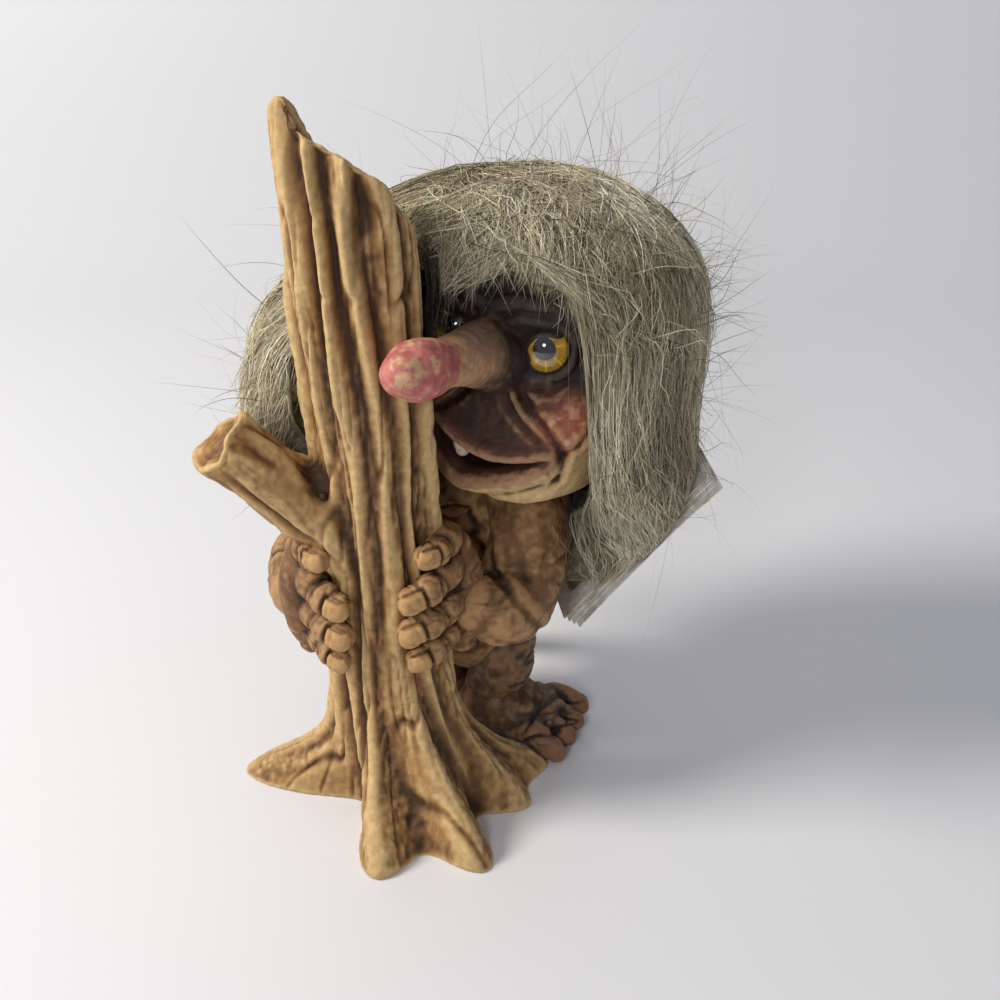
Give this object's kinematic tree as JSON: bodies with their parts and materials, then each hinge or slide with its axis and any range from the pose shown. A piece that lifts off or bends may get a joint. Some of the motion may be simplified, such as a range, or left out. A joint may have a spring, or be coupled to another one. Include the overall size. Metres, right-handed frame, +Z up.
{
  "type": "norwegian troll figure",
  "caption": "Painted folk troll with a long nose and long fur hair, hugging a bare broken tree trunk on spread roots, with a paper booklet tag under its hair.",
  "frame": {"origin": "on the floor under the middle of the trunk", "axes": "+Z up, -Y towards the viewer of the front, +X to the viewer's right"},
  "size_m": [0.1592, 0.1443, 0.229],
  "materials": {
    "cast_bark": "matte paint with a dark wash",
    "cast_skin": "matte paint with a dark wash",
    "eye_clear": "polished",
    "eye_amber": "glossy",
    "eye_black": "glossy",
    "tooth": "satin paint",
    "fur_backing": "woven",
    "fur": "long pile fur",
    "paper": "matte"
  },
  "bodies": {
    "figure": {"tree_trunk": "cast_bark", "troll_torso": "cast_skin", "troll_head": "cast_skin", "left_arm": "cast_skin", "right_arm": "cast_skin", "left_hand": "cast_skin", "right_hand": "cast_skin", "left_leg": "cast_skin", "right_leg": "cast_skin", "left_foot": "cast_skin", "right_foot": "cast_skin", "tail": "cast_skin", "tail_tuft": "fur", "left_eye_dome": "eye_clear", "right_eye_dome": "eye_clear", "left_eye_iris": "eye_amber", "right_eye_iris": "eye_amber", "left_eye_pupil": "eye_black", "right_eye_pupil": "eye_black", "upper_tooth": "tooth", "wig_backing": "fur_backing", "hair_crown": "fur", "hair_fringe": "fur", "hair_left_side": "fur", "hair_right_side": "fur", "hair_back": "fur", "tag_front_leaf": "paper"},
    "second_leaf": {"tag_second_leaf": "paper"},
    "third_leaf": {"tag_third_leaf": "paper"},
    "back_leaf": {"tag_back_leaf": "paper"}
  },
  "joints": [
    {"name": "back_leaf_turn", "type": "hinge", "parent": "figure", "child": "back_leaf", "pos_m": [0.06513, 0.0754, 0.08123], "axis": [0.6278, -0.0439, 0.7771], "range_deg": [0, 70]},
    {"name": "third_leaf_turn", "type": "hinge", "parent": "figure", "child": "third_leaf", "pos_m": [0.06513, 0.0754, 0.08123], "axis": [0.6278, -0.0439, 0.7771], "range_deg": [0, 46.67]},
    {"name": "second_leaf_turn", "type": "hinge", "parent": "figure", "child": "second_leaf", "pos_m": [0.06513, 0.0754, 0.08123], "axis": [0.6278, -0.0439, 0.7771], "range_deg": [0, 23.33]}
  ],
  "couplings": [
    {"joint": "third_leaf_turn", "follows": "back_leaf_turn", "ratio": 0.66667},
    {"joint": "second_leaf_turn", "follows": "back_leaf_turn", "ratio": 0.33333}
  ]
}
